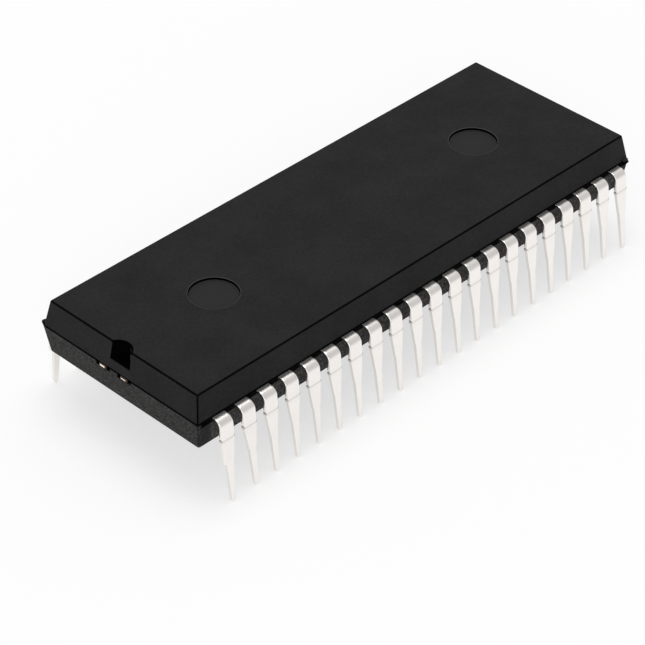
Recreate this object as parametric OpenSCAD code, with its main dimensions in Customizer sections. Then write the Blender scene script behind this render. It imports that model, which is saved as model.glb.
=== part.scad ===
// Shrink dual in-line chip: 42 leads in two rows, moulded round its lead frame.
// X runs along the body with the notched end at -X. Z is up and the lead tips stand on Z = 0.
// Lead 1 is at -X, -Y. The numbers run along -Y to lead 21 and come back along +Y to lead 42.

/* [Body] */
// Length of the moulded body, at the parting line
body_l = 38.8; // [38.6:0.1:40]
// Width of the moulded body, at the parting line
body_w = 13.6; // [13.2:0.1:14]
// Height of the half above the parting line
upper_h = 1.85; // [1.6:0.05:2.4]
// Height of the half below the parting line
lower_h = 2; // [1.2:0.05:2.4]
// How far the upper half's walls lean in, at each side
upper_draft = 0.34; // [0.1:0.02:0.5]
// How far the lower half's walls lean in, at each side
lower_draft = 0.28; // [0.1:0.02:0.5]
// How far the lower half stands out past the upper one, at the parting line
mould_step = 0.05; // [0.02:0.01:0.12]
// Size of the broken edges at the top, the underside and the upright corners
edge_break = 0.08; // [0.04:0.01:0.2]

/* [Marks of the mould] */
// Radius of the half-round notch at the lead 1 end
notch_r = 0.85; // [0.5:0.05:1.5]
// Depth of the notch below the top
notch_depth = 1.15; // [0.4:0.05:1.4]
// Diameter of the round ejector marks on the top
ejector_d = 3.25; // [1.5:0.05:6]
// Depth of the ejector marks
ejector_depth = 0.16; // [0.05:0.01:0.3]
// Distance of each ejector mark from the middle of the body
ejector_x = 11.6; // [8:0.1:14]
// Length of each flash ear, along the body
ear_l = 0.8; // [0.3:0.05:0.9]
// How far a flash ear stands out from the long side
ear_out = 0.45; // [0.1:0.05:0.6]
// Height of a flash ear
ear_h = 0.4; // [0.1:0.02:0.5]
// How far the ears reach below the parting line
ear_below = 0.15; // [0.05:0.01:0.4]

/* [Leads] */
// Leads on each long side
leads_per_side = 21; // [3:2:21]
// Spacing of the leads
pitch = 1.778; // [1.7:0.002:1.78]
// Thickness of the lead frame
frame_t = 0.25; // [0.2:0.01:0.32]
// Height of the parting line, level with the top of the lead frame, above the lead tips
parting_z = 5.7; // [5:0.1:6.5]
// Straight run of a lead between the body and its bend
lead_run = 0.2; // [0.1:0.02:0.4]
// Outer radius of the bend
bend_r = 0.55; // [0.4:0.05:0.8]
// Outward lean of the legs, in degrees
splay = 6.2; // [0:0.1:8]
// Width of a lead above the dam bar
shoulder_w = 1.01; // [0.9:0.01:1.2]
// Width of a lead just below the dam bar
below_dam_w = 0.99; // [0.7:0.01:1.1]
// Width of a lead at its neck
neck_w = 0.6; // [0.5:0.01:0.7]
// Width of a lead just below the step at its neck
leg_w = 0.53; // [0.36:0.01:0.6]
// Width of a lead at its tip
tip_w = 0.3; // [0.3:0.01:0.5]
// Height of the cut dam bar above the lead tips
dam_z = 4.28; // [3.6:0.02:4.6]
// Height of the stub that the cut dam bar leaves
dam_h = 0.14; // [0.06:0.01:0.3]
// How far the stub stands out at each edge of a lead
dam_out = 0.03; // [0.01:0.01:0.08]
// Height of the neck above the lead tips
neck_z = 2.7; // [1.5:0.05:3.2]

/* [Lead frame inside] */
// How far a lead keeps its shoulder width inside the body
anchor_l = 0.8; // [0.4:0.1:1.2]
// Width of the inner fingers
finger_w = 0.32; // [0.2:0.01:0.36]
// Gap between the paddle's corners and the oval that the finger tips lie on
finger_gap = 0.3; // [0.2:0.05:0.5]
// Half of the opening that the two end fingers leave for the tie bar
tie_gap = 0.9; // [0.7:0.05:1.2]
// Length of the paddle under the die
paddle_l = 7; // [5.5:0.1:8]
// Width of the paddle under the die
paddle_w = 5.6; // [4.4:0.1:6.4]
// Width of the tie bars
tie_w = 0.6; // [0.3:0.05:0.8]
// Place across the body of the first cut tie bar end
tie_y1 = 1.38; // [1:0.02:2]
// Place across the body of the second cut tie bar end
tie_y2 = -0.45; // [-2:0.05:-0.4]
// Distance of the fork in a tie bar from the end of the body
fork_in = 3; // [1.5:0.1:5]
// Depth of the broken-out pocket round a tie bar end
pocket_depth = 0.15; // [0.05:0.01:0.3]
// Width of the broken-out pocket
pocket_w = 1.25; // [0.9:0.05:1.5]
// Height of the broken-out pocket
pocket_h = 0.36; // [0.3:0.02:0.5]

/* [Die and wires] */
// Length of the silicon die
die_l = 5; // [3:0.1:5.2]
// Width of the silicon die
die_w = 3.8; // [2.5:0.1:4.1]
// Thickness of the silicon die
die_t = 0.35; // [0.2:0.01:0.5]
// Thickness of the glue under the die
glue_t = 0.04; // [0.02:0.01:0.08]
// How far the glue shows past the die
glue_out = 0.08; // [0.02:0.01:0.12]
// Distance of the bond pads from the edge of the die
pad_in = 0.15; // [0.1:0.01:0.3]
// Diameter of the bond wires
wire_d = 0.05; // [0.03:0.01:0.06]
// Rise of a bond wire straight above its pad
wire_rise = 0.2; // [0.1:0.02:0.3]
// Distance from a finger's tip to the place where its wire lands
wire_land = 0.25; // [0.15:0.01:0.4]

/* [Hidden] */
$fn = 48;
// Distance that a cutting solid runs past what it cuts
past = 1;
body_top = parting_z + upper_h;
row = (leads_per_side - 1) / 2;
shoulder_in = body_w / 2 - anchor_l;
bend_y = body_w / 2 + lead_run;
leg_top = [bend_y, parting_z - bend_r];
// Half axes of the oval that the finger tips lie on, which passes outside the paddle's corners
tip_x = paddle_l / sqrt(2) + finger_gap;
tip_y = paddle_w / sqrt(2) + finger_gap;
tie_angle = asin(tie_gap / tip_y);
pad_x = die_l / 2 - pad_in;
pad_y = die_w / 2 - pad_in;
// The pads nearest the tie bars stand apart as the fingers' tips do, scaled to the die
pad_gap = tie_gap * pad_y / tip_y;
die_bottom = parting_z + glue_t;
die_top = die_bottom + die_t;

function two_digits(k) = k < 10 ? str("0", k) : str(k);
function lead_name(k) = str("lead_", two_digits(k));
// Which long side a lead is on: -1 for the first row, 1 for the second
function side(k) = k <= leads_per_side ? -1 : 1;
// A lead's place in its row, counted from the notched end
function place(k) = k <= leads_per_side ? k - 1 : 2 * leads_per_side - k;
function lead_x(k) = (place(k) - row) * pitch;

// A point on the open frame round the die, where s runs from 0 at -X to 1 at +X:
// out along one end, along the long side and back in along the other end
function round_die(s, x, y, gap) =
    let (d = s * (2 * x + 2 * (y - gap)))
    d < y - gap ? [-x, gap + d]
    : d < y - gap + 2 * x ? [-x + d - (y - gap), y]
    : [x, y - (d - (y - gap) - 2 * x)];
function share(k) = place(k) / (leads_per_side - 1);
function finger_tip(k) =
    let (turn = tie_angle + share(k) * (180 - 2 * tie_angle))
    [-tip_x * cos(turn), tip_y * sin(turn)];
function finger_root(k) = [lead_x(k), shoulder_in];
function bond_pad(k) = round_die(share(k), pad_x, pad_y, pad_gap);
function along(a, b) = (b - a) / norm(b - a);
function across(a, b) = [-along(a, b)[1], along(a, b)[0]];
function wire_end(k) = finger_tip(k) - wire_land * along(finger_root(k), finger_tip(k));

// A straight strip of one width from a to b
module strip(a, b, w) {
    n = across(a, b) * w / 2;
    polygon([a + n, b + n, b - n, a - n]);
}

// One half of the body, from its parting line down or up to a face that is smaller all round
module tapered_half(l, w, h, draft) {
    function outline(size) = [
        [-size / 2, 0], [size / 2, 0],
        [size / 2 - draft * (1 - edge_break / h), h - edge_break],
        [size / 2 - draft - edge_break, h], [-size / 2 + draft + edge_break, h],
        [-size / 2 + draft * (1 - edge_break / h), h - edge_break]];
    intersection() {
        translate([0, w, 0]) rotate([90, 0, 0]) linear_extrude(2 * w) polygon(outline(l));
        translate([-l, 0, 0]) rotate([90, 0, 90]) linear_extrude(2 * l) polygon(outline(w));
        corner_planes(l, w, h, draft);
    }
}

// The four broken upright corners, which lean in with the walls
module corner_planes(l, w, h, draft) {
    reach = l + w;
    cut = (l + w) / 2 - edge_break;
    module diagonal(turn) {
        lean = draft * sqrt(2);
        flat = cut / sqrt(2);
        rotate([0, 0, turn]) translate([0, reach, 0]) rotate([90, 0, 0]) linear_extrude(2 * reach)
            polygon([[-reach, -past], [flat + lean * past / h, -past],
                     [flat - lean - lean * past / h, h + past], [-reach, h + past]]);
    }
    intersection() {
        diagonal(corner_turn(1, 1));
        diagonal(corner_turn(-1, 1));
        diagonal(corner_turn(-1, -1));
        diagonal(corner_turn(1, -1));
    }
}

// Direction of a corner's diagonal, at 45 degrees in the quarter that the signs give
function corner_turn(sx, sy) = atan2(sy, sx);

// The two flash ears, at opposite corners of the long sides
module flash_ears() {
    for (turn = [0, 180]) rotate([0, 0, turn])
        translate([body_l / 2 - edge_break - ear_l, -body_w / 2 - ear_out, parting_z - ear_below])
            cube([ear_l, ear_out + lower_draft + past, ear_h]);
}

module notch() {
    translate([-body_l / 2, 0, body_top - notch_depth]) cylinder(r = notch_r, h = notch_depth + past);
}

module ejector_marks() {
    for (s = [-1, 1]) translate([s * ejector_x, 0, body_top - ejector_depth])
        cylinder(d = ejector_d, h = ejector_depth + past);
}

// The pockets that break out where the tie bars were cut
module tie_pockets() {
    for (s = [-1, 1], y = [tie_y1, tie_y2])
        translate([s * (body_l / 2 + past / 2 - pocket_depth), y, parting_z - frame_t / 2])
            cube([past, pocket_w, pocket_h], center = true);
}

// Plan of a lead from its bend to its finger's tip, drawn on the +Y side
module lead_plan(k) {
    translate([lead_x(k) - shoulder_w / 2, shoulder_in]) square([shoulder_w, bend_y - shoulder_in]);
    strip(finger_root(k) + [0, finger_w / 2], finger_tip(k), finger_w);
    translate(finger_root(k)) circle(d = finger_w);
}

// Side view of a lead's bend and leg, as distance from the middle and height
module leg_side() {
    up = [sin(splay), cos(splay)];
    back = [-cos(splay), sin(splay)];
    middle = bend_r - frame_t / 2;
    leg = (leg_top[1] + bend_r * sin(splay)) / cos(splay);
    translate(leg_top) rotate(splay) {
        intersection() {
            difference() {
                circle(r = bend_r);
                circle(r = bend_r - frame_t);
            }
            polygon([[0, 0], [2 * bend_r, 0], [2 * bend_r, 2 * bend_r], 2 * bend_r * up]);
        }
        // A wedge at each end of the bend reaches into what comes next, so that they overlap and join
        polygon([(bend_r - frame_t) * up, middle * up + frame_t / 2 * back, bend_r * up,
                 middle * up - frame_t / 2 * back]);
        polygon([[bend_r - frame_t, 0], [middle, frame_t / 2], [bend_r, 0],
                 [bend_r, -leg], [bend_r - frame_t, -leg]]);
    }
}

// Front view of a lead, as distance from its middle and height
module lead_front(k) {
    translate([0, tip_w / 2]) circle(d = tip_w);
    step_z = neck_z - (neck_w - leg_w) / 2;
    polygon([[-tip_w / 2, tip_w / 2], [tip_w / 2, tip_w / 2], [leg_w / 2, step_z], [neck_w / 2, neck_z],
             [below_dam_w / 2, dam_z], [-below_dam_w / 2, dam_z],
             [-neck_w / 2, neck_z], [-leg_w / 2, step_z]]);
    // The two leads at the notched end keep their width on the outer side and step in at the neck
    if (place(k) == 0) translate([-below_dam_w / 2, neck_z]) square([below_dam_w / 2, dam_z - neck_z]);
    translate([-shoulder_w / 2 - dam_out, dam_z]) square([shoulder_w + 2 * dam_out, dam_h]);
    translate([-shoulder_w / 2, dam_z]) square([shoulder_w, parting_z + past - dam_z]);
}

module lead(k) {
    color([0.85, 0.84, 0.81]) mirror([0, side(k) < 0 ? 1 : 0, 0]) {
        translate([0, 0, parting_z - frame_t]) linear_extrude(frame_t) lead_plan(k);
        intersection() {
            translate([lead_x(k) - shoulder_w, 0, 0]) rotate([90, 0, 90])
                linear_extrude(2 * shoulder_w) leg_side();
            translate([lead_x(k), 2 * body_w, 0]) rotate([90, 0, 0])
                linear_extrude(2 * body_w) lead_front(k);
        }
    }
}

// Plan of the paddle and its two forked tie bars
module paddle_plan() {
    square([paddle_l, paddle_w], center = true);
    fork_x = body_l / 2 - fork_in;
    bar_end = body_l / 2 - lower_draft * frame_t / lower_h;
    for (s = [-1, 1]) mirror([s < 0 ? 1 : 0, 0]) {
        translate([0, -tie_w / 2]) square([fork_x, tie_w]);
        translate([fork_x - tie_w, tie_y2 - tie_w / 2]) square([tie_w, tie_y1 - tie_y2 + tie_w]);
        for (y = [tie_y1, tie_y2])
            translate([fork_x - tie_w, y - tie_w / 2]) square([bar_end - fork_x + tie_w, tie_w]);
    }
}

module die_paddle() {
    color([0.72, 0.5, 0.34]) translate([0, 0, parting_z - frame_t]) linear_extrude(frame_t) paddle_plan();
}

module die_attach() {
    color([0.75, 0.75, 0.78]) translate([-die_l / 2 - glue_out, -die_w / 2 - glue_out, parting_z])
        cube([die_l + 2 * glue_out, die_w + 2 * glue_out, glue_t]);
}

module silicon_die() {
    color([0.3, 0.34, 0.42]) translate([-die_l / 2, -die_w / 2, die_bottom]) cube([die_l, die_w, die_t]);
}

// A straight length of bond wire between two points
module wire_length(a, b) {
    d = b - a;
    translate(a) rotate([0, acos(d[2] / norm(d)), atan2(d[1], d[0])])
        cylinder(d = wire_d, h = norm(d), $fn = 16);
}

// One bond wire: straight up from its pad, over a rounded knee and down to its finger
module bond_wire(k) {
    pad = [bond_pad(k)[0], bond_pad(k)[1], die_top];
    knee = pad + [0, 0, wire_rise];
    land = [wire_end(k)[0], wire_end(k)[1], parting_z];
    mirror([0, side(k) < 0 ? 1 : 0, 0]) {
        wire_length(pad, knee);
        translate(knee) sphere(d = wire_d, $fn = 16);
        intersection() {
            wire_length(knee, land + 3 * wire_d * along(knee, land));
            translate([-body_l / 2, 0, parting_z]) cube([body_l, body_w, upper_h]);
        }
    }
}

module bond_wires() {
    color([0.86, 0.68, 0.3]) for (k = [1:2 * leads_per_side]) bond_wire(k);
}

module moulded_body() {
    color([0.16, 0.16, 0.165]) difference() {
        union() {
            translate([0, 0, parting_z])
                tapered_half(body_l - 2 * mould_step, body_w - 2 * mould_step, upper_h, upper_draft);
            translate([0, 0, parting_z]) mirror([0, 0, 1]) tapered_half(body_l, body_w, lower_h, lower_draft);
            flash_ears();
        }
        notch();
        ejector_marks();
        tie_pockets();
        translate([0, 0, parting_z - frame_t]) linear_extrude(frame_t) {
            paddle_plan();
            for (k = [1:2 * leads_per_side]) mirror([0, side(k) < 0 ? 1 : 0]) lead_plan(k);
        }
        die_attach();
        silicon_die();
        bond_wires();
    }
}

moulded_body();
for (k = [1:2 * leads_per_side]) lead(k);
die_paddle();
die_attach();
silicon_die();
bond_wires();
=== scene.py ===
# %% [markdown]
# A moulded chip with 42 bent leads
#
# A chip of this kind is a block of black filled resin, moulded round a thin metal lead frame. The
# leads come out of the block at its parting line, bend down and taper to round tips. This lesson
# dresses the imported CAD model: the block and the leads are worked out again as fine surfaces, and
# the parts hidden in the block only get their finishes.

# %% Load the frame
import math
from functools import partial
from types import SimpleNamespace

import bmesh
import bpy
import numpy as np
from mathutils import Matrix, Vector
from mathutils.geometry import delaunay_2d_cdt


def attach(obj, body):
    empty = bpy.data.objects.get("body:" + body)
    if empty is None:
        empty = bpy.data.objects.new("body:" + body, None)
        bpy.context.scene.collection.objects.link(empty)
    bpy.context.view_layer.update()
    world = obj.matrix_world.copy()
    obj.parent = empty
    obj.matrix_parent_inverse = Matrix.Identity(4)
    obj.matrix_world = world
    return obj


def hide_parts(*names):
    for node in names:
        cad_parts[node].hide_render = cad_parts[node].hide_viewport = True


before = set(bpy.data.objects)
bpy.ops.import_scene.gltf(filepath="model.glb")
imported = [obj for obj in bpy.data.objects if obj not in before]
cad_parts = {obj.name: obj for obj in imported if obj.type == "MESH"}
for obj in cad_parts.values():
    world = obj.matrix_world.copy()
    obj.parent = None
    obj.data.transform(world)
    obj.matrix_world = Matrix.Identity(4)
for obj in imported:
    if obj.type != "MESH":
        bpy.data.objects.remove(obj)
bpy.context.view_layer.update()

# %% [markdown]
# Sizes
#
# The frame says where each part lies, but not how its edges are shaped, so the part's own sizes
# are repeated here in millimetres, as its source has them. One factor turns them into Blender's
# metres when a mesh is made. The edge rounds, which the CAD solids leave out or only chamfer, are
# the values of this script alone. Sizes of ears, pockets and leads follow where they are needed.

# %% Sizes of the block in millimetres
MM = 0.001
BODY_L, BODY_W = 38.8, 13.6
PARTING = 5.7
UPPER_H, LOWER_H = 1.85, 2.0
TOP, UNDERSIDE = PARTING + UPPER_H, PARTING - LOWER_H
UPPER_DRAFT, LOWER_DRAFT = 0.34, 0.28
MOULD_STEP = 0.05
NOTCH_R, NOTCH_DEPTH = 0.85, 1.15
MARK_R, MARK_DEPTH, MARK_X = 1.625, 0.16, 11.6
CORNER_R, TOP_R, UNDER_R, RIM_R = 0.14, 0.12, 0.12, 0.03
FRAME_T = 0.25
print("block in mm:", BODY_L, "x", BODY_W, "x", round(TOP - UNDERSIDE, 2))

# %% [markdown]
# From arrays to a mesh
#
# Every new surface below is a grid of points, so one helper turns a grid into faces and another
# makes the piece. Where a feature is switched off its points fall together, so doubles are merged,
# and then all normals are turned outwards. Sharp edges are marked by angle, level faces are shaded
# flat, and a weighted normal modifier keeps the other big faces looking flat beside their small
# rounds.

# %% Grid and piece helpers
SHARP_ANGLE = math.radians(32)
LEVEL_NORMAL = 0.99999


def grid_faces(rows, cols, first=0):
    """Faces of a grid of rows x cols points whose last column joins the first: point (r, c) has
    index first + r * cols + c, and each face joins (r, c), (r, c+1), (r+1, c+1), (r+1, c)."""
    r, c = np.meshgrid(np.arange(rows - 1), np.arange(cols), indexing="ij")
    right = (c + 1) % cols
    corners = np.stack([r * cols + c, r * cols + right,
                        (r + 1) * cols + right, (r + 1) * cols + c], axis=-1)
    return (corners.reshape(-1, 4) + first).tolist()


def make_piece(name, points, faces, attributes=None, merge=2e-7):
    """A mesh object from points in millimetres, with its doubles merged and its faces turned
    outwards."""
    mesh = bpy.data.meshes.new(name)
    mesh.from_pydata((np.asarray(points) * MM).tolist(), [], faces)
    for key, values in (attributes or {}).items():
        layer = mesh.attributes.new(key, "FLOAT", "POINT")
        layer.data.foreach_set("value", np.asarray(values, dtype=np.float32))
    shell = bmesh.new()
    shell.from_mesh(mesh)
    bmesh.ops.remove_doubles(shell, verts=shell.verts, dist=merge)
    bmesh.ops.dissolve_degenerate(shell, edges=shell.edges, dist=merge)
    bmesh.ops.recalc_face_normals(shell, faces=shell.faces)
    shell.to_mesh(mesh)
    shell.free()
    mesh.shade_smooth()
    mesh.set_sharp_from_angle(angle=SHARP_ANGLE)
    normals = np.empty(3 * len(mesh.polygons), dtype=np.float32)
    mesh.polygons.foreach_get("normal", normals)
    mesh.polygons.foreach_set("use_smooth", np.abs(normals[2::3]) < LEVEL_NORMAL)
    piece = bpy.data.objects.new(name, mesh)
    bpy.context.scene.collection.objects.link(piece)
    return piece


def open_edges(piece):
    """How many edges don't have exactly two faces."""
    loops = np.empty(len(piece.data.loops), dtype=np.int32)
    piece.data.loops.foreach_get("edge_index", loops)
    faces_of_edge = np.bincount(loops, minlength=len(piece.data.edges))
    return int(np.count_nonzero(faces_of_edge != 2))


def weigh_normals(piece):
    """Big faces decide the normals, and sharp edges stay sharp."""
    weighing = piece.modifiers.new("weighted_normals", "WEIGHTED_NORMAL")
    weighing.keep_sharp = True
    weighing.weight = 100


# %% [markdown]
# Node materials
#
# Each finish is a small tree of nodes. A helper adds a node, sets its plain inputs by name and
# links the others, so that a material reads from top to bottom like a recipe. Patterns read Object
# coordinates, turned into millimetres.

# %% Node helpers
def start_material(name):
    """A new material with only its output and a Principled shader."""
    material = bpy.data.materials.new(name)
    material.use_nodes = True
    tree = material.node_tree
    tree.nodes.clear()
    shader = tree.nodes.new("ShaderNodeBsdfPrincipled")
    output = tree.nodes.new("ShaderNodeOutputMaterial")
    tree.links.new(shader.outputs["BSDF"], output.inputs["Surface"])
    return material, tree, shader


def feed(tree, socket, value):
    """Links a socket to another node's output, or sets it to a plain value."""
    if isinstance(value, bpy.types.NodeSocket):
        tree.links.new(value, socket)
    else:
        socket.default_value = value


def add_node(tree, kind, settings=None, **inputs):
    """A node with some settings and inputs. An input's name is written with _ for a space, or as
    i0, i1 by place."""
    node = tree.nodes.new("ShaderNode" + kind)
    for key, value in (settings or {}).items():
        setattr(node, key, value)
    for key, value in inputs.items():
        by_place = key[0] == "i" and key[1:].isdigit()
        feed(tree, node.inputs[int(key[1:]) if by_place else key.replace("_", " ")], value)
    return node


# %% Helpers for sums, patterns and colours
def math_node(tree, operation, *values):
    """The result of one Math node."""
    inputs = {f"i{i}": value for i, value in enumerate(values)}
    return add_node(tree, "Math", {"operation": operation}, **inputs).outputs[0]


def in_millimetres(tree):
    """Object coordinates times 1000."""
    coordinates = tree.nodes.new("ShaderNodeTexCoord")
    return add_node(tree, "VectorMath", {"operation": "MULTIPLY"},
                    i0=coordinates.outputs["Object"], i1=(1000, 1000, 1000)).outputs[0]


def noise(tree, vector, scale, detail=2.0, roughness=0.5):
    """Soft noise from 0 to 1, with scale in cells per millimetre."""
    return add_node(tree, "TexNoise", Vector=vector, Scale=scale, Detail=detail,
                    Roughness=roughness).outputs["Fac"]


def fade(tree, value, start, end, at_start=0.0, at_end=1.0):
    """Goes smoothly from at_start, where value is start, to at_end, where it is end."""
    return add_node(tree, "MapRange", {"interpolation_type": "SMOOTHSTEP"}, Value=value,
                    i1=start, i2=end, i3=at_start, i4=at_end).outputs[0]


def fade_out(tree, value, start, end, most=1.0):
    """Goes smoothly from most, where value is start, to 0, where it is end."""
    return fade(tree, value, start, end, most, 0.0)


def tools(tree):
    """The helpers for sums, for a rise and for a fall, bound to one tree."""
    return partial(math_node, tree), partial(fade, tree), partial(fade_out, tree)


def blend_colors(tree, amount, first, second):
    """The first colour where amount is 0, and the second where it is 1."""
    node = tree.nodes.new("ShaderNodeMix")
    node.data_type = "RGBA"
    feed(tree, node.inputs[0], amount)
    feed(tree, node.inputs[6], first)
    feed(tree, node.inputs[7], second)
    return node.outputs[2]


# %% [markdown]
# Black moulding compound
#
# The block is epoxy resin filled with fine glass grains. Its faces copy a spark-eroded mould, so
# they are matte with a grain of about a tenth of a millimetre. Along the edges and the parting
# line shade is painted: the colour is near-black there, and the surface a little smoother. The
# distance to those edges is worked out from the Object coordinates: a point is near an edge where
# it is near two of the block's planes at once.

# %% Where a point of the block lies
def block_distances(tree, place):
    """The point's x, y and z, its height above the parting line, and its distances from the end
    wall, the side wall and the top. A wall leans in by its draft times the share of the height,
    and the upper one stands back by the mould step."""
    m = partial(math_node, tree)
    x, y, z = add_node(tree, "SeparateXYZ", Vector=place).outputs[:]
    above = m("SUBTRACT", z, PARTING)
    lean = m("MAXIMUM", m("ADD", m("MULTIPLY", above, UPPER_DRAFT / UPPER_H), MOULD_STEP),
             m("MULTIPLY", above, -LOWER_DRAFT / LOWER_H))
    from_end = m("SUBTRACT", m("SUBTRACT", BODY_L / 2, lean), m("ABSOLUTE", x))
    from_side = m("SUBTRACT", m("SUBTRACT", BODY_W / 2, lean), m("ABSOLUTE", y))
    return SimpleNamespace(x=x, y=y, z=z, above=above, from_end=from_end, from_side=from_side,
                           from_top=m("SUBTRACT", TOP, z))


def outside_circle(tree, x, y, radius):
    """The root of x squared plus y squared, less the radius."""
    m = partial(math_node, tree)
    return m("SUBTRACT", m("SQRT", m("ADD", m("POWER", x, 2.0), m("POWER", y, 2.0))), radius)


# %% [markdown]
# Each feature has its own mask. The masks of painted shade are 1 where the shade is painted and 0
# elsewhere, and the strongest of them counts. Every pair of numbers below says between which two
# distances in millimetres a mask rises or falls.

# %% Where shade is painted on the compound
EDGE_LINE, LOWER_EDGES = (0.065, 0.115), (-0.1, 0.0)
PARTING_LINE, PARTING_LINE_UP = (0.025, 0.055), 0.01
OVER_LEADS, OVER_LEADS_START = (0.05, 0.13), (-0.03, 0.0)
UNDER_SEAM, UNDER_SEAM_START = (-0.42, -0.28), (-0.04, 0.0)
OFF_THE_ENDS = (0.15, 0.3)


def edge_lines(tree, at):
    """Painted shade on the edges of the block, on the parting line, and in the bands over and under
    it where the leads come out; the band under it is a painted shadow of the leads. Edges are
    fainter on the lower half."""
    m, rise, fall = tools(tree)
    from_flat = m("MINIMUM", at.from_top, m("SUBTRACT", at.z, UNDERSIDE))
    nearer = m("MINIMUM", at.from_end, at.from_side)
    farther = m("MAXIMUM", at.from_end, at.from_side)
    edge = fall(m("MAXIMUM", nearer, m("MINIMUM", farther, from_flat)), *EDGE_LINE, 0.85)
    edge = m("MULTIPLY", edge, rise(at.above, *LOWER_EDGES, 0.4, 1.0))
    line = fall(m("ABSOLUTE", m("SUBTRACT", at.above, PARTING_LINE_UP)), *PARTING_LINE, 0.9)
    over_leads = m("MULTIPLY", rise(at.above, *OVER_LEADS_START),
                   fall(at.above, *OVER_LEADS, 0.9))
    under_seam = m("MULTIPLY", rise(at.above, *UNDER_SEAM, 0.0, 0.95),
                   fall(at.above, *UNDER_SEAM_START))
    bands = m("MULTIPLY", m("MAXIMUM", over_leads, under_seam), rise(at.from_end, *OFF_THE_ENDS))
    return m("MAXIMUM", edge, m("MAXIMUM", line, bands))


# %% Masks of notch, pockets and marks
NOTCH_RIM, NOTCH_TOP, NOTCH_WALL = (0.08, 0.16), (0.05, 0.1), (0.02, 0.05)
NOTCH_FLOOR = (NOTCH_DEPTH + 0.02, NOTCH_DEPTH + 0.06)
LIT_SIDE, LIT_DEPTH = (-0.5, -0.2), (0.3, 0.6)
POCKET_BACK, POCKET_ASIDE, POCKET_HEIGHT, POCKET_DOWN = (0.04, 0.09), (2.2, 2.4), (0.25, 0.3), 0.1
MARK_FLOOR_IN, MARK_FLOOR_DOWN = (-0.06, -0.05), 0.5
MARK_RING, MARK_ZONE, MARK_RIM_DEPTH = (0.03, 0.04), (0.3, 0.35), (0.012, 0.03)


def notch_shade(tree, at):
    """Painted shade on the rim of the notch and on its wall inside, but for the wall's upper -Y
    part, which is left lighter as the side that light falls on.
    """
    m, rise, fall = tools(tree)
    notch_in = outside_circle(tree, m("ADD", at.x, BODY_L / 2), at.y, NOTCH_R)
    rim = fall(m("MAXIMUM", m("ABSOLUTE", notch_in), at.from_top), *NOTCH_RIM)
    in_depth = m("MULTIPLY", rise(at.from_top, *NOTCH_TOP), fall(at.from_top, *NOTCH_FLOOR))
    wall = m("MULTIPLY", fall(notch_in, *NOTCH_WALL), in_depth)
    lit = m("MULTIPLY", fall(at.y, *LIT_SIDE), fall(at.from_top, *LIT_DEPTH))
    wall = m("MULTIPLY", wall, m("SUBTRACT", 1.0, lit))
    return m("MAXIMUM", rim, m("MULTIPLY", wall, 0.95))


def pocket_shade(tree, at):
    """Painted shade in the broken-out pockets: behind the end wall, near the middle and near the
    parting line.
    """
    m, rise, fall = tools(tree)
    near_line = fall(m("ABSOLUTE", m("SUBTRACT", at.above, -POCKET_DOWN)), *POCKET_HEIGHT)
    return m("MULTIPLY", rise(at.from_end, *POCKET_BACK),
             m("MULTIPLY", fall(m("ABSOLUTE", at.y), *POCKET_ASIDE), near_line))


def mark_masks(tree, at):
    """Floor, wall and rim of the two round marks. The floor is smoother and gets a painted sheen,
    the wall painted shade and the rim a painted highlight. Wall and rim share a thin ring, and
    depth tells them apart."""
    m, rise, fall = tools(tree)
    mark_in = outside_circle(tree, m("SUBTRACT", m("ABSOLUTE", at.x), MARK_X), at.y, MARK_R)
    floor = fall(m("MAXIMUM", mark_in, m("SUBTRACT", at.from_top, MARK_FLOOR_DOWN)),
                 *MARK_FLOOR_IN)
    ring = m("MULTIPLY", fall(m("ABSOLUTE", m("ADD", mark_in, RIM_R)), *MARK_RING),
             fall(at.from_top, *MARK_ZONE))
    wall = m("MULTIPLY", ring, rise(at.from_top, *MARK_RIM_DEPTH))
    rim = m("MULTIPLY", ring, fall(at.from_top, *MARK_RIM_DEPTH))
    return floor, wall, rim


# %% [markdown]
# The compound's own colour is a mottled near-black on the upper half, which is fine and even. The
# lower half looks coarser in the photograph: glassy grains stand out grey. The grains are painted
# lighter between the leads, as light that the leads reflect onto the wall, and darker just beside
# the corners. The floors of the marks are smoother, and painted a little lighter than the top as
# their sheen.

# %% Moulding compound material
SHADE_BLACK = (0.0008, 0.0008, 0.0009, 1)
FACE_DARK, FACE_LIGHT = (0.0102, 0.0102, 0.0105, 1), (0.019, 0.019, 0.0195, 1)
BETWEEN_GRAINS, GRAIN = (0.009, 0.009, 0.0092, 1), (0.05, 0.049, 0.047, 1)
GRAIN_LIT_BY_LEADS, GRAIN_BY_CORNER = (0.108, 0.105, 0.1, 1), (0.02, 0.02, 0.02, 1)
# Painted sheen for the floors of the marks and a painted highlight for their rims.
MARK_FLOOR_SHEEN, MARK_RIM_HIGHLIGHT = (0.0225, 0.0225, 0.023, 1), (0.07, 0.07, 0.071, 1)
GRAIN_HEIGHT = 0.00002


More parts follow.
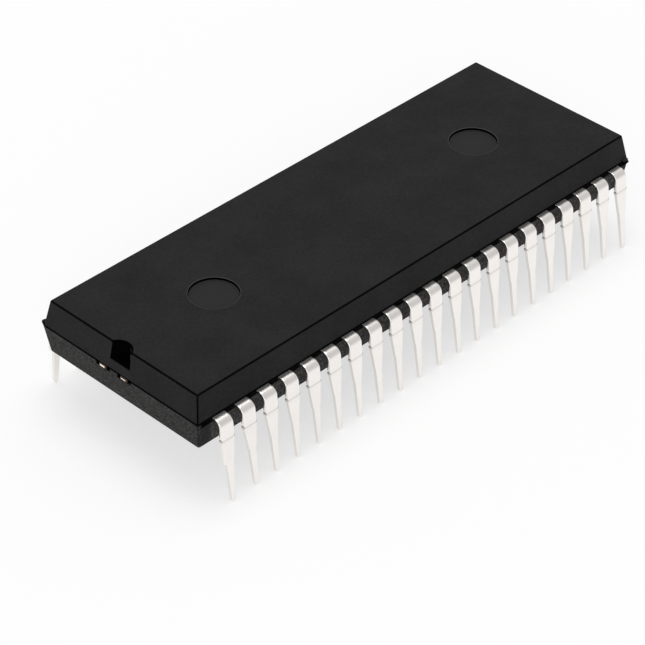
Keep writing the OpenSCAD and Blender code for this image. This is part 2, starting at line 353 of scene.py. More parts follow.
def compound_color(tree, place, at, grain, mark_floor, rim_highlight):
    """The compound's colour where no shade is painted."""
    m, rise, fall = tools(tree)
    mottle = m("MULTIPLY", m("SUBTRACT", noise(tree, place, 5.0, 3.0, 0.7), 0.5), 1.2)
    patches = m("ADD", noise(tree, place, 0.35, 3.0, 0.6), mottle)
    smooth = blend_colors(tree, rise(patches, 0.1, 0.9), FACE_DARK, FACE_LIGHT)
    by_corner = m("MULTIPLY", rise(at.from_end, 0.12, 0.2), fall(at.from_end, 0.7, 1.1))
    # Painted light: the grains are lighter between the leads, as light that the leads reflect onto
    # the wall.
    glassy = blend_colors(tree, rise(at.from_end, 0.9, 1.2), GRAIN, GRAIN_LIT_BY_LEADS)
    glassy = blend_colors(tree, by_corner, glassy, GRAIN_BY_CORNER)
    coarse = blend_colors(tree, rise(grain, 0.6, 0.95), BETWEEN_GRAINS, glassy)
    color = blend_colors(tree, fall(at.above, -0.05, 0.0), smooth, coarse)
    # Painted sheen on the floors of the marks, then a painted highlight on their rims.
    color = blend_colors(tree, mark_floor, color, MARK_FLOOR_SHEEN)
    return blend_colors(tree, rim_highlight, color, MARK_RIM_HIGHLIGHT)


def moulding_compound():
    """Grainy compound, with smoother, near-black painted shade where one of the masks is 1."""
    material, tree, shader = start_material("moulding_compound")
    m, rise = partial(math_node, tree), partial(fade, tree)
    place = in_millimetres(tree)
    at = block_distances(tree, place)
    # The walls of the marks start the painted shade.
    mark_floor, painted_shade, rim_highlight = mark_masks(tree, at)
    for shade in (edge_lines, notch_shade, pocket_shade):
        painted_shade = m("MAXIMUM", painted_shade, shade(tree, at))
    grain = m("ADD", m("MULTIPLY", noise(tree, place, 7.0, 3.0, 0.7), 1.3),
              m("MULTIPLY", noise(tree, place, 2.2, 2.0), 0.2))
    color = compound_color(tree, place, at, grain, mark_floor, rim_highlight)
    # Where a mask is 1, the colour is near-black painted shade.
    feed(tree, shader.inputs["Base Color"], blend_colors(tree, painted_shade, color, SHADE_BLACK))
    feed(tree, shader.inputs["Roughness"], rise(painted_shade, 0.0, 1.0, 0.6, 0.45))
    feed(tree, shader.inputs["Specular IOR Level"], rise(painted_shade, 0.0, 1.0, 0.1, 0.0))
    strength = m("MULTIPLY", m("SUBTRACT", 1.0, m("MULTIPLY", painted_shade, 0.7)),
                 m("SUBTRACT", 1.0, m("MULTIPLY", mark_floor, 0.5)))
    bump = add_node(tree, "Bump", Strength=m("MULTIPLY", strength, 0.5), Distance=GRAIN_HEIGHT,
                    Height=grain)
    feed(tree, shader.inputs["Normal"], bump.outputs[0])
    return material


compound = moulding_compound()
print("nodes of the moulding compound:", len(compound.node_tree.nodes))

# %% [markdown]
# The block's wall
#
# The wall is one grid. A row is an outline of the block at one height and a column runs from the
# underside up to the top, so both mould halves, their rounded edges and the step between them are
# only a list of heights and insets. Notch, tie bar pockets and flash ears are dents and bumps in
# the same grid: their columns stand at the right places in the rows that need them, and lie flat
# in the wall in all others. Flash ears are small nubs of resin that was pressed out at two
# opposite corners, and the far one hangs lower, so it gets three more rows of its own.

# %% Rows of the wall
ROUND = np.linspace(0, math.pi / 2, 6)
POCKETS = [(-1.075, 0.175), (0.755, 2.005)]
POCKET_DEPTH, POCKET_H = 0.15, 0.36
EAR_L, EAR_H, EAR_BELOW, EAR_FROM_CORNER = 0.42, 0.4, 0.15, 0.02
NEAR_EAR_OUT, FAR_EAR_OUT, FAR_EAR_DROP = 0.2, 0.38, 0.15
FAR_EAR_ROWS = [5.42, 5.46, 5.5]
ROW_GAP = 0.01

pocket_low = PARTING - FRAME_T / 2 - POCKET_H / 2
pocket_high = pocket_low + POCKET_H
ear_z = PARTING - EAR_BELOW + EAR_H * (1 - np.cos(np.linspace(0, math.pi, 15))) / 2
ear_lower = np.concatenate([FAR_EAR_ROWS, ear_z[ear_z < PARTING - ROW_GAP]])
ear_upper = ear_z[ear_z > pocket_high + ROW_GAP]
row_z = np.concatenate([
    UNDERSIDE + UNDER_R * (1 - np.cos(ROUND)), [pocket_low] * 2, ear_lower, [PARTING] * 2,
    [pocket_high] * 2, ear_upper, [TOP - NOTCH_DEPTH] * 2, TOP - TOP_R * (1 - np.sin(ROUND))])
row_round = np.concatenate([UNDER_R * (1 - np.sin(ROUND)), np.zeros(len(row_z) - 2 * len(ROUND)),
                            TOP_R * (1 - np.cos(ROUND))])
rows = len(row_z)
row = np.arange(rows)
step_row = len(ROUND) + 2 + len(ear_lower) + 1
notch_row = step_row + 3 + len(ear_upper)
pocket_on = (row > len(ROUND)) & (row < step_row + 2)
notch_on, notch_columns_apart = row > notch_row, row >= notch_row
row_lean = np.where(row >= step_row, MOULD_STEP + UPPER_DRAFT * (row_z - PARTING) / UPPER_H,
                    LOWER_DRAFT * (PARTING - row_z) / LOWER_H)
half_l = BODY_L / 2 - row_lean - row_round
half_w = BODY_W / 2 - row_lean - row_round
corner = np.maximum(CORNER_R - row_round, 0.002)
print("wall rows:", rows)


# %% Columns of the sides and corners
def hump(u, power=3.0):
    """A rounded hump over 0 to 1: the p-th root of 1 - |2u - 1|^p, and 0 at both ends."""
    return np.clip(1 - np.abs(2 * np.clip(u, 0, 1) - 1) ** power, 0, 1) ** (1 / power)


def corner_arc(quarter, steps=6):
    """Quarter circle of the corner radius in each row, from quarter * 90 degrees on, round the
    row's corner centre."""
    turn = (quarter + np.linspace(0, 1, steps)) * math.pi / 2
    sx, sy = [(1, 1), (-1, 1), (-1, -1), (1, -1)][quarter % 4]
    return np.stack([sx * (half_l - corner)[:, None] + corner[:, None] * np.cos(turn),
                     sy * (half_w - corner)[:, None] + corner[:, None] * np.sin(turn)], axis=-1)


def long_side(ear_out, ear_drop, steps=15):
    """The -Y side from -X to +X. It is flat but for the ear near +X, which bulges by a hump along
    X times one in Z."""
    u = (1 - np.cos(np.linspace(0, math.pi, steps))) / 2
    x = (half_l - corner)[:, None] - EAR_FROM_CORNER - EAR_L * (1 - u)
    out = ear_out * hump(u) * hump((row_z - ear_z[0] + ear_drop) / EAR_H)[:, None]
    return np.stack([x, -half_w[:, None] - out], axis=-1)


# %% Columns of the ends
BESIDE_NOTCH = np.linspace(1.35, 1.0, 4)
COLUMN_GAP = 0.02


def pocket_columns(turned):
    """Where an end wall's pocket columns stand along Y, and in which rows they lie at a pocket's
    back. Each side of a pocket has two columns: one in the wall and one that can move back."""
    y = np.array([[a, a, b, b] for a, b in POCKETS]).reshape(-1)
    inside = np.array([0, 1, 1, 0] * len(POCKETS), dtype=bool)
    if turned:
        y, inside = y[::-1], inside[::-1]
    return np.broadcast_to(y, (rows, len(y))), inside & pocket_on[:, None]


def plain_end():
    """The +X end from -Y to +Y, with its pockets."""
    y, dented = pocket_columns(False)
    x = np.where(dented, BODY_L / 2 - POCKET_DEPTH, half_l[:, None])
    return np.stack([x, y], axis=-1)


def notched_end(steps=33):
    """The -X end from +Y to -Y. The notch is an arc of radius NOTCH_R round the middle of the end:
    its half angle is the arc cosine of the wall's distance from that middle over the radius, and
    it grows with the top's round. In the notch's rows the pocket columns stand beside it."""
    y, dented = pocket_columns(True)
    y = y.copy()
    y[notch_columns_apart] = np.concatenate([BESIDE_NOTCH, -BESIDE_NOTCH[::-1]])
    x = np.where(dented, -BODY_L / 2 + POCKET_DEPTH, -half_l[:, None])
    radius = (NOTCH_R + row_round)[:, None]
    wall_at = (BODY_L / 2 - half_l)[:, None]
    turn = np.arccos(np.clip(wall_at / radius, -1, 1)) * np.linspace(1, -1, steps)
    arc_x = np.where(notch_on[:, None], -BODY_L / 2 + radius * np.cos(turn), -half_l[:, None])
    squeezed = np.linspace(POCKETS[1][0] - COLUMN_GAP, POCKETS[0][1] + COLUMN_GAP, steps)
    arc_y = np.where(notch_columns_apart[:, None], radius * np.sin(turn), squeezed)
    arc = np.stack([arc_x, arc_y], axis=-1)
    ends = np.stack([x, y], axis=-1)
    return np.concatenate([ends[:, :4], arc, ends[:, 4:]], axis=1)


outline = np.concatenate([
    long_side(NEAR_EAR_OUT, 0.0), corner_arc(3), plain_end(), corner_arc(0),
    -long_side(FAR_EAR_OUT, FAR_EAR_DROP), corner_arc(1), notched_end(), corner_arc(2)], axis=1)
cols = outline.shape[1]
wall = np.concatenate([outline, np.broadcast_to(row_z[:, None, None], (rows, cols, 1))], axis=-1)
print("wall grid:", rows, "x", cols)

# %% [markdown]
# Ejector marks, top and underside
#
# The two round marks are where pins pushed the block out of its mould. Each is a profile turned
# round an upright axis: a small round at the rim, a short wall and a flat floor. The flat faces
# between the outline and the marks are triangulated with the marks as holes, because a face with a
# hole in it can't be one polygon.

# %% Marks and flat faces
MARK_STEPS = 72
MARK_FOOT = 0.02
FLOOR_RINGS = [1.295, 0.5]
SAME_POINT, FILL_EPSILON = 1e-5, 1e-6


def mark_surface(centre_x):
    """Profile (radius, height) turned round the mark's axis, rim first. The last ring is closed by
    one round face."""
    wall_r = MARK_R - RIM_R
    radius = np.concatenate([wall_r + RIM_R * (1 - np.sin(ROUND)),
                             [wall_r, wall_r - MARK_FOOT], FLOOR_RINGS])
    height = np.concatenate([TOP - RIM_R * (1 - np.cos(ROUND)),
                             TOP - MARK_DEPTH + np.array([MARK_FOOT, 0, 0, 0])])
    turn = np.arange(MARK_STEPS) / MARK_STEPS * 2 * math.pi
    ring = np.stack([np.cos(turn), np.sin(turn)], axis=-1)
    flat = radius[:, None, None] * ring + [centre_x, 0]
    upright = np.broadcast_to(height[:, None, None], (len(radius), MARK_STEPS, 1))
    return np.concatenate([flat, upright], axis=-1)


def flat_face(loops, height):
    """Triangles that fill the first loop and leave the others open."""
    points = [Vector(p) for loop in loops for p in loop]
    ends = np.cumsum([0] + [len(loop) for loop in loops])
    bounds = [list(range(a, b)) for a, b in zip(ends[:-1], ends[1:])]
    filled = delaunay_2d_cdt(points, [], bounds, 2, FILL_EPSILON)
    flat = np.array([(p.x, p.y, height) for p in filled[0]])
    return flat, [list(face) for face in filled[2]]


def without_doubles(loop):
    """The loop's points that lie apart from the one before."""
    step = np.linalg.norm(loop - np.roll(loop, 1, axis=0), axis=1)
    return loop[step > SAME_POINT].tolist()


# %% Put the block together
parts, faces, count = [wall.reshape(-1, 3)], grid_faces(rows, cols), rows * cols
rims = []
for centre_x in (-MARK_X, MARK_X):
    mark = mark_surface(centre_x)
    rims.append(mark[0, :, :2].tolist())
    faces += grid_faces(len(mark), MARK_STEPS, count)
    faces.append([count + (len(mark) - 1) * MARK_STEPS + i for i in range(MARK_STEPS)])
    parts.append(mark.reshape(-1, 3))
    count += len(parts[-1])

top_loops = [without_doubles(wall[-1, :, :2])] + rims
underside_loops = [without_doubles(wall[0, :, :2])]
for loops, height in ((top_loops, TOP), (underside_loops, UNDERSIDE)):
    flat, flat_faces = flat_face(loops, height)
    faces += [[count + i for i in face] for face in flat_faces]
    parts.append(flat)
    count += len(flat)

block = make_piece("moulded_body_shell", np.concatenate(parts), faces)
weigh_normals(block)
block.data.materials.append(compound)
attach(block, "root")
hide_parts("moulded_body")
print("block faces:", len(block.data.polygons), "open edges:", open_edges(block))

# %% [markdown]
# Tin-plated leads
#
# The leads are stamped from a copper strip and plated with tin, which is bright, slightly warm and
# satin. The forming tool rubs the plating into fine streaks along the lead and leaves the bend
# greyer than the flat leg. Where the dam bar was cut off, the bare strip shows darker; the thin
# line across the front there is partly a change in the plating and partly painted shade of the
# groove. The sheared sides are painted a little darker as a dark reflection. Bend, cut and sheared
# edges are marked by attributes on the mesh, because they follow the lead and not the Object
# coordinates.

# %% Tin plate material
BEND_START, LEG_END = (0.86, 0.83, 0.79, 1), (0.94, 0.91, 0.88, 1)
BEND_LEVELS = ((0.25, 0.88), (0.5, 0.78), (0.65, 0.8), (0.8, 0.93))
CLOUDED, SHEARED_SIDE_REFLECTION, CUT = (0.86, 0.83, 0.8, 1), (0.3, 0.285, 0.27, 1), (0.34, 0.31, 0.28, 1)
STREAK_CELLS, STREAK_HEIGHT = (12.0, 2.0, 2.0), 0.000008


def tin_plate():
    """Tin whose colour follows the way along the lead, with streaks, clouds and cut metal. The line
    at the cut is partly painted shade, and the sheared sides carry a painted dark reflection.
    """
    material, tree, shader = start_material("tin_plate")
    m, rise = partial(math_node, tree), partial(fade, tree)
    place = in_millimetres(tree)
    band, cut, sheared = (add_node(tree, "Attribute", {"attribute_name": key}).outputs["Fac"]
                          for key in ("band", "cut", "sheared"))
    stretched = add_node(tree, "Mapping", Vector=place, Scale=STREAK_CELLS).outputs[0]
    streaks = noise(tree, stretched, 1.0, 3.0, 0.6)
    streaked = m("ADD", band, m("MULTIPLY", m("SUBTRACT", streaks, 0.5), 0.2))
    shade = add_node(tree, "ValToRGB", Fac=streaked)
    stops = shade.color_ramp.elements
    stops[0].position, stops[0].color = 0.0, BEND_START
    stops[1].position, stops[1].color = 1.0, LEG_END
    for at, level in BEND_LEVELS:
        stops.new(at).color = (level, level * 0.965, level * 0.93, 1)
    clouds = rise(noise(tree, place, 1.1, 3.0), 0.3, 0.7, 0.0, 0.25)
    plate = blend_colors(tree, clouds, shade.outputs[0], CLOUDED)
    # Painted dark reflection on the sheared sides.
    plate = blend_colors(tree, m("MULTIPLY", sheared, 0.1), plate, SHEARED_SIDE_REFLECTION)
    feed(tree, shader.inputs["Base Color"], blend_colors(tree, cut, plate, CUT))
    shader.inputs["Metallic"].default_value = 1.0
    rougher = m("ADD", m("MULTIPLY", streaks, 0.1), m("MULTIPLY", cut, 0.2))
    smoother = m("SUBTRACT", m("MULTIPLY", sheared, 0.1), 0.25)
    feed(tree, shader.inputs["Roughness"], m("SUBTRACT", rougher, smoother))
    strength = m("SUBTRACT", 0.1, m("MULTIPLY", rise(band, 0.8, 1.0), 0.07))
    height = m("ADD", streaks, m("MULTIPLY", noise(tree, place, 7.0, 2.0), 0.4))
    bump = add_node(tree, "Bump", Strength=strength, Distance=STREAK_HEIGHT, Height=height)
    feed(tree, shader.inputs["Normal"], bump.outputs[0])
    return material


tin = tin_plate()
print("nodes of the tin plate:", len(tin.node_tree.nodes))

# %% [markdown]
# One lead as a swept section
#
# A lead has one thickness and a width that changes with its height, so it is a rounded rectangle
# carried along a path: level out of the block, round the bend and down the leg. The width comes
# from the height by interpolation in a short table, and the last stations follow a half circle to
# make the round tip, which is pressed a little thinner.

# %% Sizes of a lead in millimetres
LEADS, PITCH = 21, 1.778
ANCHOR_Y, BEND_Y, BEND_R = 6.0, 7.0, 0.55
SPLAY = math.radians(6.2)
SHOULDER_W, BELOW_DAM_W, NECK_W, LEG_W, TIP_W = 1.01, 0.99, 0.6, 0.53, 0.3
DAM_Z, DAM_H, DAM_OUT, NECK_Z = 4.28, 0.14, 0.03, 2.7
DAM_TOP, STEP_Z = DAM_Z + DAM_H, NECK_Z - (NECK_W - LEG_W) / 2
MID_R, TIP_R = BEND_R - FRAME_T / 2, TIP_W / 2
FRONT_R, BACK_R, FRONT_INSET = 0.045, 0.03, 0.09
GROOVE_DEPTH, GROOVE_W = 0.012, 0.012
LOWEST_Z, TIP_BELOW, TIP_THINNER, END_THINNER, END_HALF_W = 0.004, 0.15, 0.012, 0.03, 0.05
EDGE = 0.002

# %% Path and widths of a lead
bend_turn = np.linspace(0, math.pi / 2 - SPLAY, 13)
level_y = np.array([ANCHOR_Y, 6.6, 6.85])
bend_yz = np.stack([BEND_Y + MID_R * np.sin(bend_turn),
                    PARTING - BEND_R + MID_R * np.cos(bend_turn)], axis=-1)
tip_z = TIP_R * (1 - np.sin(np.linspace(0, math.pi / 2, 8)[:-1])) + LOWEST_Z
leg_z = np.concatenate([
    [4.75, DAM_TOP + 0.03, DAM_TOP + 2 * EDGE, DAM_TOP, DAM_Z + 0.04, DAM_Z + EDGE, DAM_Z - EDGE],
    [DAM_Z - 0.05, 3.9, 3.3, NECK_Z + 0.05, NECK_Z, STEP_Z, STEP_Z - 0.1, 2.0, 1.4, 0.8, 0.4],
    tip_z, [LOWEST_Z]])
leg_y = bend_yz[-1, 0] + (bend_yz[-1, 1] - leg_z) * math.tan(SPLAY)
level_yz = np.stack([level_y, np.full(3, PARTING - FRAME_T / 2)], axis=-1)
path = np.concatenate([level_yz, bend_yz, np.stack([leg_y, leg_z], axis=-1)])
path_z = path[:, 1]
path_turn = np.concatenate([np.zeros(3), bend_turn, np.full(len(leg_z), bend_turn[-1])])
stations = len(path)

width_z = [TIP_R, STEP_Z, NECK_Z, DAM_Z - EDGE, DAM_Z + EDGE, DAM_TOP, DAM_TOP + 2 * EDGE, TOP]
dam_w = SHOULDER_W + 2 * DAM_OUT
widths = np.array([TIP_W, LEG_W, NECK_W, BELOW_DAM_W, dam_w, dam_w, SHOULDER_W, SHOULDER_W])
half_width = np.interp(path_z, width_z, widths / 2)
near_tip = path_z < TIP_R
depth_in_tip = np.clip(TIP_R + LOWEST_Z - path_z[near_tip], 0, TIP_R)
tip_half = np.sqrt(np.maximum(TIP_R ** 2 - depth_in_tip ** 2, 0))
half_width[near_tip] = np.maximum(tip_half, END_HALF_W)
wide_half = np.where((path_z > NECK_Z + 0.02) & (path_z < DAM_Z), BELOW_DAM_W / 2, half_width)
half_t = np.full(stations, FRAME_T / 2)
half_t[path_z < TIP_BELOW] = FRAME_T / 2 - TIP_THINNER
half_t[-1] = FRAME_T / 2 - END_THINNER
print("path stations:", stations, "widest in mm:", round(2 * half_width.max(), 2))

# %% Rounded section of a lead
quarters = [np.linspace(a, a + math.pi / 2, 4) for a in np.arange(4) * math.pi / 2]
corner_turn = np.concatenate([quarters[0], [math.pi / 2] * 2, *quarters[1:]])
corner_x = np.repeat([1, -1, -1, 1], [5, 5, 4, 4])
corner_n = np.repeat([1, -1], [10, 8])
inset = np.zeros(len(corner_turn))
inset[4:6] = FRONT_INSET
corner_r = np.where(corner_n > 0, FRONT_R, BACK_R)
section = len(corner_turn)
print("section points:", section)

# %% [markdown]
# Leads are handled, so no two stand quite alike. Each leg leans by a few hundredths of a
# millimetre, from a seeded generator, and the ones at the ends of the rows are bent a little more,
# as in the photograph. The two leads at the notched end keep their full width on their outer edge
# down to the neck and step in there.

# %% Shapes of a lead and its finger
LEAN_POWER = 1.3
LEAST_REACH, FLATTER_BELOW, FLATTEST = 0.004, 0.3, 0.2
FINGER_W, FINGER_GAP, TIE_GAP = 0.32, 0.3, 0.9
PADDLE_L, PADDLE_W = 7.0, 5.6


def row_x(place):
    """Where a lead stands along its row, with place 0 at the notched end."""
    return (place - (LEADS - 1) / 2) * PITCH


def lead_grid(place, side, lean):
    """Section point = path point + x * (half width - r) + n * (half thickness - r)
    + r * (cos a, sin a), where n is normal to the path, and two points on the front face stand in
    from the edges. The front has a groove at the dam cut. Near the tip the section's height
    shrinks, so that the tip stays level. Below the bend all shifts by the lean times a power of
    the share of the way down."""
    left = (wide_half if place == 0 else half_width)[:, None]
    reach = np.where(corner_x < 0, left, half_width[:, None])
    level_reach = np.maximum(reach - corner_r, LEAST_REACH)
    x = corner_x * (level_reach - np.minimum(inset, 0.8 * level_reach))
    x = x + corner_r * np.cos(corner_turn)
    n = corner_n * (half_t[:, None] - corner_r) + corner_r * np.sin(corner_turn)
    groove = GROOVE_DEPTH * np.exp(-((path_z - DAM_Z) / GROOVE_W) ** 2)
    n = n - groove[:, None] * (corner_n > 0)
    y = path[:, :1] + n * np.sin(path_turn)[:, None]
    flatter = np.clip(path[:, 1:] / FLATTER_BELOW, FLATTEST, 1)
    z = path[:, 1:] + n * np.cos(path_turn)[:, None] * flatter
    down = np.clip((PARTING - BEND_R - z) / (PARTING - BEND_R), 0, 1) ** LEAN_POWER
    return np.stack([x + row_x(place) + lean[0] * down, side * (y + side * lean[1] * down), z],
                    axis=-1)


def finger_tip(place):
    """The finger's end on the oval round the paddle, at an angle that grows evenly with the
    lead's place."""
    oval_x, oval_y = PADDLE_L / math.sqrt(2) + FINGER_GAP, PADDLE_W / math.sqrt(2) + FINGER_GAP
    first = math.asin(TIE_GAP / oval_y)
    turn = first + place / (LEADS - 1) * (math.pi - 2 * first)
    return np.array([-oval_x * math.cos(turn), oval_y * math.sin(turn)])


def finger(place, side):
    """A closed straight strip from the anchor to the finger's tip: four corners at two heights."""
    root = np.array([row_x(place), ANCHOR_Y + FINGER_W / 2])
    tip = finger_tip(place)
    along = (tip - root) / np.linalg.norm(tip - root)
    off = np.array([-along[1], along[0]]) * FINGER_W / 2
    plan = np.array([root + off, tip + off, tip - off, root - off]) * [1, side]
    return np.concatenate([np.c_[plan, np.full(4, height)]
                           for height in (PARTING - FRAME_T, PARTING)])


# %% Marks on the lead for its finish
CUT_EDGE, CUT_AND_SHADE_LINE, CUT_LINE_UP, CUT_LINE_W = 0.6, 0.33, 0.05, 0.07

height = np.repeat(path_z, section)
on_edge = np.tile(inset == 0, stations)
way = np.concatenate([[0.0, 0.0, 0.02], np.linspace(0.05, 1, len(bend_turn)), np.ones(len(leg_z))])
stub = (height > DAM_Z - EDGE / 2) & (height < DAM_TOP + EDGE / 2)
# The line across the front at the cut is partly a change in the plating and partly painted shade of
# the groove.
line = np.exp(-((height - DAM_Z - CUT_LINE_UP) / CUT_LINE_W) ** 2) * CUT_AND_SHADE_LINE
finger_part = np.zeros(8)
marks = {
    "band": np.append(np.repeat(way, section), finger_part),
    "cut": np.append(np.maximum(np.where(stub & on_edge, CUT_EDGE, 0.0), line), finger_part),
    "sheared": np.append(np.tile(np.clip(2 * np.abs(np.cos(corner_turn)) - 1, 0, 1), stations),
                         finger_part),
}
print("points of a lead:", len(marks["band"]))

# %% Make the leads
LEAN_SPREAD = 0.018
BENT = {1: (-0.18, -0.08), 2: (0.0, -0.05), 21: (0.0, -0.12), 41: (-0.1, -0.25),
        42: (-0.17, -0.25)}

lead_points = stations * section
lead_faces = grid_faces(stations, section)
lead_faces += [list(range(section)), list(range(lead_points - section, lead_points))]
box_faces = [[3, 2, 1, 0], [4, 5, 6, 7], [0, 1, 5, 4], [1, 2, 6, 5], [2, 3, 7, 6], [3, 0, 4, 7]]
lead_faces += [[i + lead_points for i in face] for face in box_faces]

lean_draw = np.random.default_rng(42)
for k in range(1, 2 * LEADS + 1):
    side = -1 if k <= LEADS else 1
    place = k - 1 if side < 0 else 2 * LEADS - k
    lean = np.array(BENT.get(k, (0.0, 0.0))) + lean_draw.normal(0, LEAN_SPREAD, 2)
    points = np.concatenate([lead_grid(place, side, lean).reshape(-1, 3), finger(place, side)])
    lead = make_piece(f"lead_{k:02d}_plated", points, lead_faces, marks, merge=1e-8)
    lead.data.materials.append(tin)
    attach(lead, "root")
    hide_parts(f"lead_{k:02d}")
print("faces of a lead:", len(lead.data.polygons), "open edges:", open_edges(lead))

# %% [markdown]
# What the block hides
#
# Paddle, glue, die and wires have the right shape already, so they stay as CAD nodes and only get
# their finishes. The paddle's cut tie bar ends are the only part of them in sight: a bare copper
# alloy, painted dark as shade in their pockets but for a bright sheared spot.

# %% Finish of the paddle
TIE_Y, TIE_SPOT_SHIFT, TIE_SPOT_DOWN = (1.38, -0.45), 0.08, 0.18
BARE_COPPER, SHADED_TIE_END = (0.95, 0.86, 0.76, 1), (0.05, 0.03, 0.015, 1)


def copper_with_shaded_ends():
    """Copper alloy whose cut ends, past x = 19 mm, are painted dark as shade in their pockets, but
    for a bright sheared spot on each bar. The spot on the -Y bar is thinner."""
    material, tree, shader = start_material("bare_copper_alloy")
    m, rise, fall = tools(tree)
    x, y, z = add_node(tree, "SeparateXYZ", Vector=in_millimetres(tree)).outputs[:]
    aside = m("MINIMUM", *(m("ABSOLUTE", m("SUBTRACT", y, middle + TIE_SPOT_SHIFT))
                           for middle in TIE_Y))
    off_height = m("MULTIPLY", m("ABSOLUTE", m("SUBTRACT", z, PARTING - TIE_SPOT_DOWN)),
                   rise(y, 0.0, 0.5, 1.7, 1.0))
    spot = m("MULTIPLY", fall(aside, 0.17, 0.23), fall(off_height, 0.05, 0.08))
    # Painted shade on the tie bar ends, but for the sheared spot.
    dark = m("MULTIPLY", rise(m("ABSOLUTE", x), 18.9, 19.0), m("SUBTRACT", 1.0, spot))
    feed(tree, shader.inputs["Base Color"], blend_colors(tree, dark, BARE_COPPER, SHADED_TIE_END))
    feed(tree, shader.inputs["Roughness"], rise(dark, 0.0, 1.0, 0.3, 0.5))
    shader.inputs["Metallic"].default_value = 1.0
    return material


# %% Finishes of glue, die and wires
def plain_finish(name, color, second, roughness, metallic, scale, bump_depth):
    """Two close colours mixed by noise, with a roughness that follows it and a fine bump."""
    material, tree, shader = start_material(name)
    rise = partial(fade, tree)
    pattern = noise(tree, in_millimetres(tree), scale, 3.0, 0.6)
    mixed = blend_colors(tree, rise(pattern, 0.3, 0.7), color, second)
    feed(tree, shader.inputs["Base Color"], mixed)
    feed(tree, shader.inputs["Roughness"],
         rise(pattern, 0.2, 0.8, roughness * 0.8, roughness * 1.2))
    shader.inputs["Metallic"].default_value = metallic
    bump = add_node(tree, "Bump", Strength=0.2, Distance=bump_depth, Height=pattern)
    feed(tree, shader.inputs["Normal"], bump.outputs[0])
    return material


finishes = {
    "die_paddle": copper_with_shaded_ends(),
    "die_attach": plain_finish("silver_filled_glue", (0.5, 0.5, 0.52, 1), (0.62, 0.62, 0.63, 1),
                               roughness=0.5, metallic=0.3, scale=20.0, bump_depth=1e-5),
    "silicon_die": plain_finish("polished_silicon", (0.16, 0.17, 0.2, 1), (0.22, 0.2, 0.26, 1),
                                roughness=0.12, metallic=0.6, scale=3.0, bump_depth=1e-7),
    "bond_wires": plain_finish("gold_wire", (0.92, 0.7, 0.3, 1), (0.85, 0.62, 0.24, 1),
                               roughness=0.2, metallic=1.0, scale=12.0, bump_depth=1e-7),
}
for node, finish in finishes.items():
    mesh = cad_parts[node].data
    mesh.materials.clear()
    mesh.materials.append(finish)
print("CAD nodes with a new finish:", list(finishes))

# %% [markdown]
# Floor and light
#
# The photograph was taken on a white sweep under soft light. The floor is white to the camera and
# in reflections, and keeps the object's soft shadow: part of its colour is a steady white, and the
# rest is lit like any white paper. The world and two large square lamps, one nearly overhead and
# one low on the camera's side, light the object at a plain level.

# %% Floor
STEADY_STRENGTH, STEADY_SHARE = 1.22, 0.523
FLOOR_HALF = 0.6


def white_floor():
    """Camera, mirror and glass rays see mostly steady white plus some lit white. Other rays see
    lit white."""
    material, tree, shader = start_material("white_floor")
    m = partial(math_node, tree)
    shader.inputs["Base Color"].default_value = (0.86, 0.86, 0.86, 1)
    shader.inputs["Roughness"].default_value = 0.9
    shader.inputs["Specular IOR Level"].default_value = 0.0
    steady = add_node(tree, "Emission", Color=(1.0, 1.0, 1.0, 1), Strength=STEADY_STRENGTH)
    rays = tree.nodes.new("ShaderNodeLightPath").outputs
    seen = m("MAXIMUM", m("MAXIMUM", rays["Is Camera Ray"], rays["Is Glossy Ray"]),
             rays["Is Transmission Ray"])
    mix = add_node(tree, "MixShader", i0=m("MULTIPLY", seen, STEADY_SHARE),
                   i1=shader.outputs["BSDF"], i2=steady.outputs[0])
    output = next(node for node in tree.nodes if node.type == "OUTPUT_MATERIAL")
    tree.links.new(mix.outputs[0], output.inputs["Surface"])
    return material


floor_corners = [(x * FLOOR_HALF, y * FLOOR_HALF, 0)
                 for x, y in ((-1, -1), (1, -1), (1, 1), (-1, 1))]
floor_mesh = bpy.data.meshes.new("floor")
floor_mesh.from_pydata(floor_corners, [], [[0, 1, 2, 3]])
floor = bpy.data.objects.new("floor", floor_mesh)
bpy.context.scene.collection.objects.link(floor)
floor.data.materials.append(white_floor())
print("floor side in m:", 2 * FLOOR_HALF)

# %% World and lamps
LIGHTING_LEVEL, MIRRORED_LEVEL = 0.45, 0.72

world = bpy.data.worlds.new("studio")
bpy.context.scene.world = world
world.use_nodes = True
sky = world.node_tree
sky.nodes.clear()
rays = sky.nodes.new("ShaderNodeLightPath").outputs
mirrored = fade(sky, rays["Is Glossy Ray"], 0.0, 1.0, LIGHTING_LEVEL, MIRRORED_LEVEL)
strength = math_node(sky, "MAXIMUM", mirrored, rays["Is Camera Ray"])
backdrop = add_node(sky, "Background", Color=(1.0, 1.0, 1.0, 1), Strength=strength)
world_output = sky.nodes.new("ShaderNodeOutputWorld")
sky.links.new(backdrop.outputs[0], world_output.inputs["Surface"])


def direction(azimuth, elevation):
    """The unit vector towards an azimuth and an elevation in degrees, with azimuth 0 at -Y."""
    a, e = math.radians(azimuth), math.radians(elevation)
    return Vector((math.sin(a) * math.cos(e), -math.cos(a) * math.cos(e), math.sin(e)))


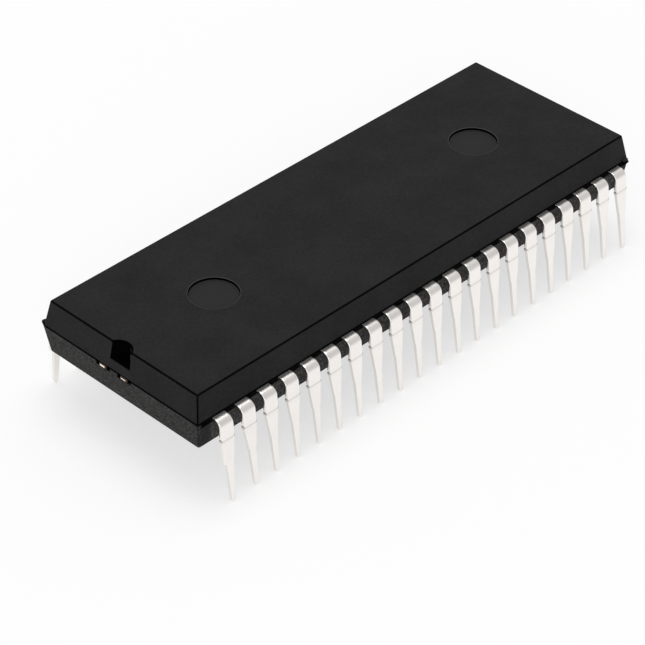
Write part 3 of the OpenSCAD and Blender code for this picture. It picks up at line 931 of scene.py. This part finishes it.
def soft_lamp(name, azimuth, elevation, distance, size, power):
    """A square area lamp that looks at the object from a direction in degrees."""
    lamp = bpy.data.lights.new(name, "AREA")
    lamp.size, lamp.energy = size, power
    holder = bpy.data.objects.new(name, lamp)
    towards = direction(azimuth, elevation)
    holder.location = towards * distance
    holder.rotation_euler = towards.to_track_quat("Z", "Y").to_euler()
    bpy.context.scene.collection.objects.link(holder)
    print("lamp", name, "at", [round(c, 3) for c in holder.location])


soft_lamp("overhead", azimuth=150, elevation=82, distance=0.5, size=0.35, power=0.95)
soft_lamp("front_fill", azimuth=-45, elevation=20, distance=0.7, size=0.5, power=1.4)

# %% [markdown]
# Camera
#
# The camera stands where the photograph was taken from: direction, distance and focal length were
# fitted to the block's corners and the lead tips, so the render lines up with the photograph.

# %% Camera
AZIMUTH, ELEVATION, ROLL = -45.69, 37.43, math.radians(0.38)
DISTANCE, SHIFT_X, SHIFT_Y = 171.0, -1.591, -0.767
FOCAL_PIXELS, IMAGE_PIXELS, SENSOR = 2668.1, 645, 36.0

back = direction(AZIMUTH, ELEVATION)
right = Vector((0, 0, 1)).cross(back).normalized()
up = back.cross(right)
right_turned = right * math.cos(ROLL) + up * math.sin(ROLL)
up_turned = -right * math.sin(ROLL) + up * math.cos(ROLL)
eye = (back * DISTANCE + right_turned * SHIFT_X + up_turned * SHIFT_Y) * MM
turned = Matrix((right_turned, up_turned, back)).transposed().to_4x4()

lens = bpy.data.cameras.new("camera")
lens.sensor_fit, lens.sensor_width = "HORIZONTAL", SENSOR
lens.lens = FOCAL_PIXELS / IMAGE_PIXELS * SENSOR
lens.clip_start, lens.clip_end = 0.001, 10
camera = bpy.data.objects.new("camera", lens)
camera.matrix_world = Matrix.Translation(eye) @ turned
bpy.context.scene.collection.objects.link(camera)
bpy.context.scene.camera = camera
bpy.context.scene.view_settings.view_transform = "Standard"
print("camera at", [round(c, 4) for c in eye], "lens in mm:", round(lens.lens, 1))

# %% Update the scene
bpy.context.view_layer.update()
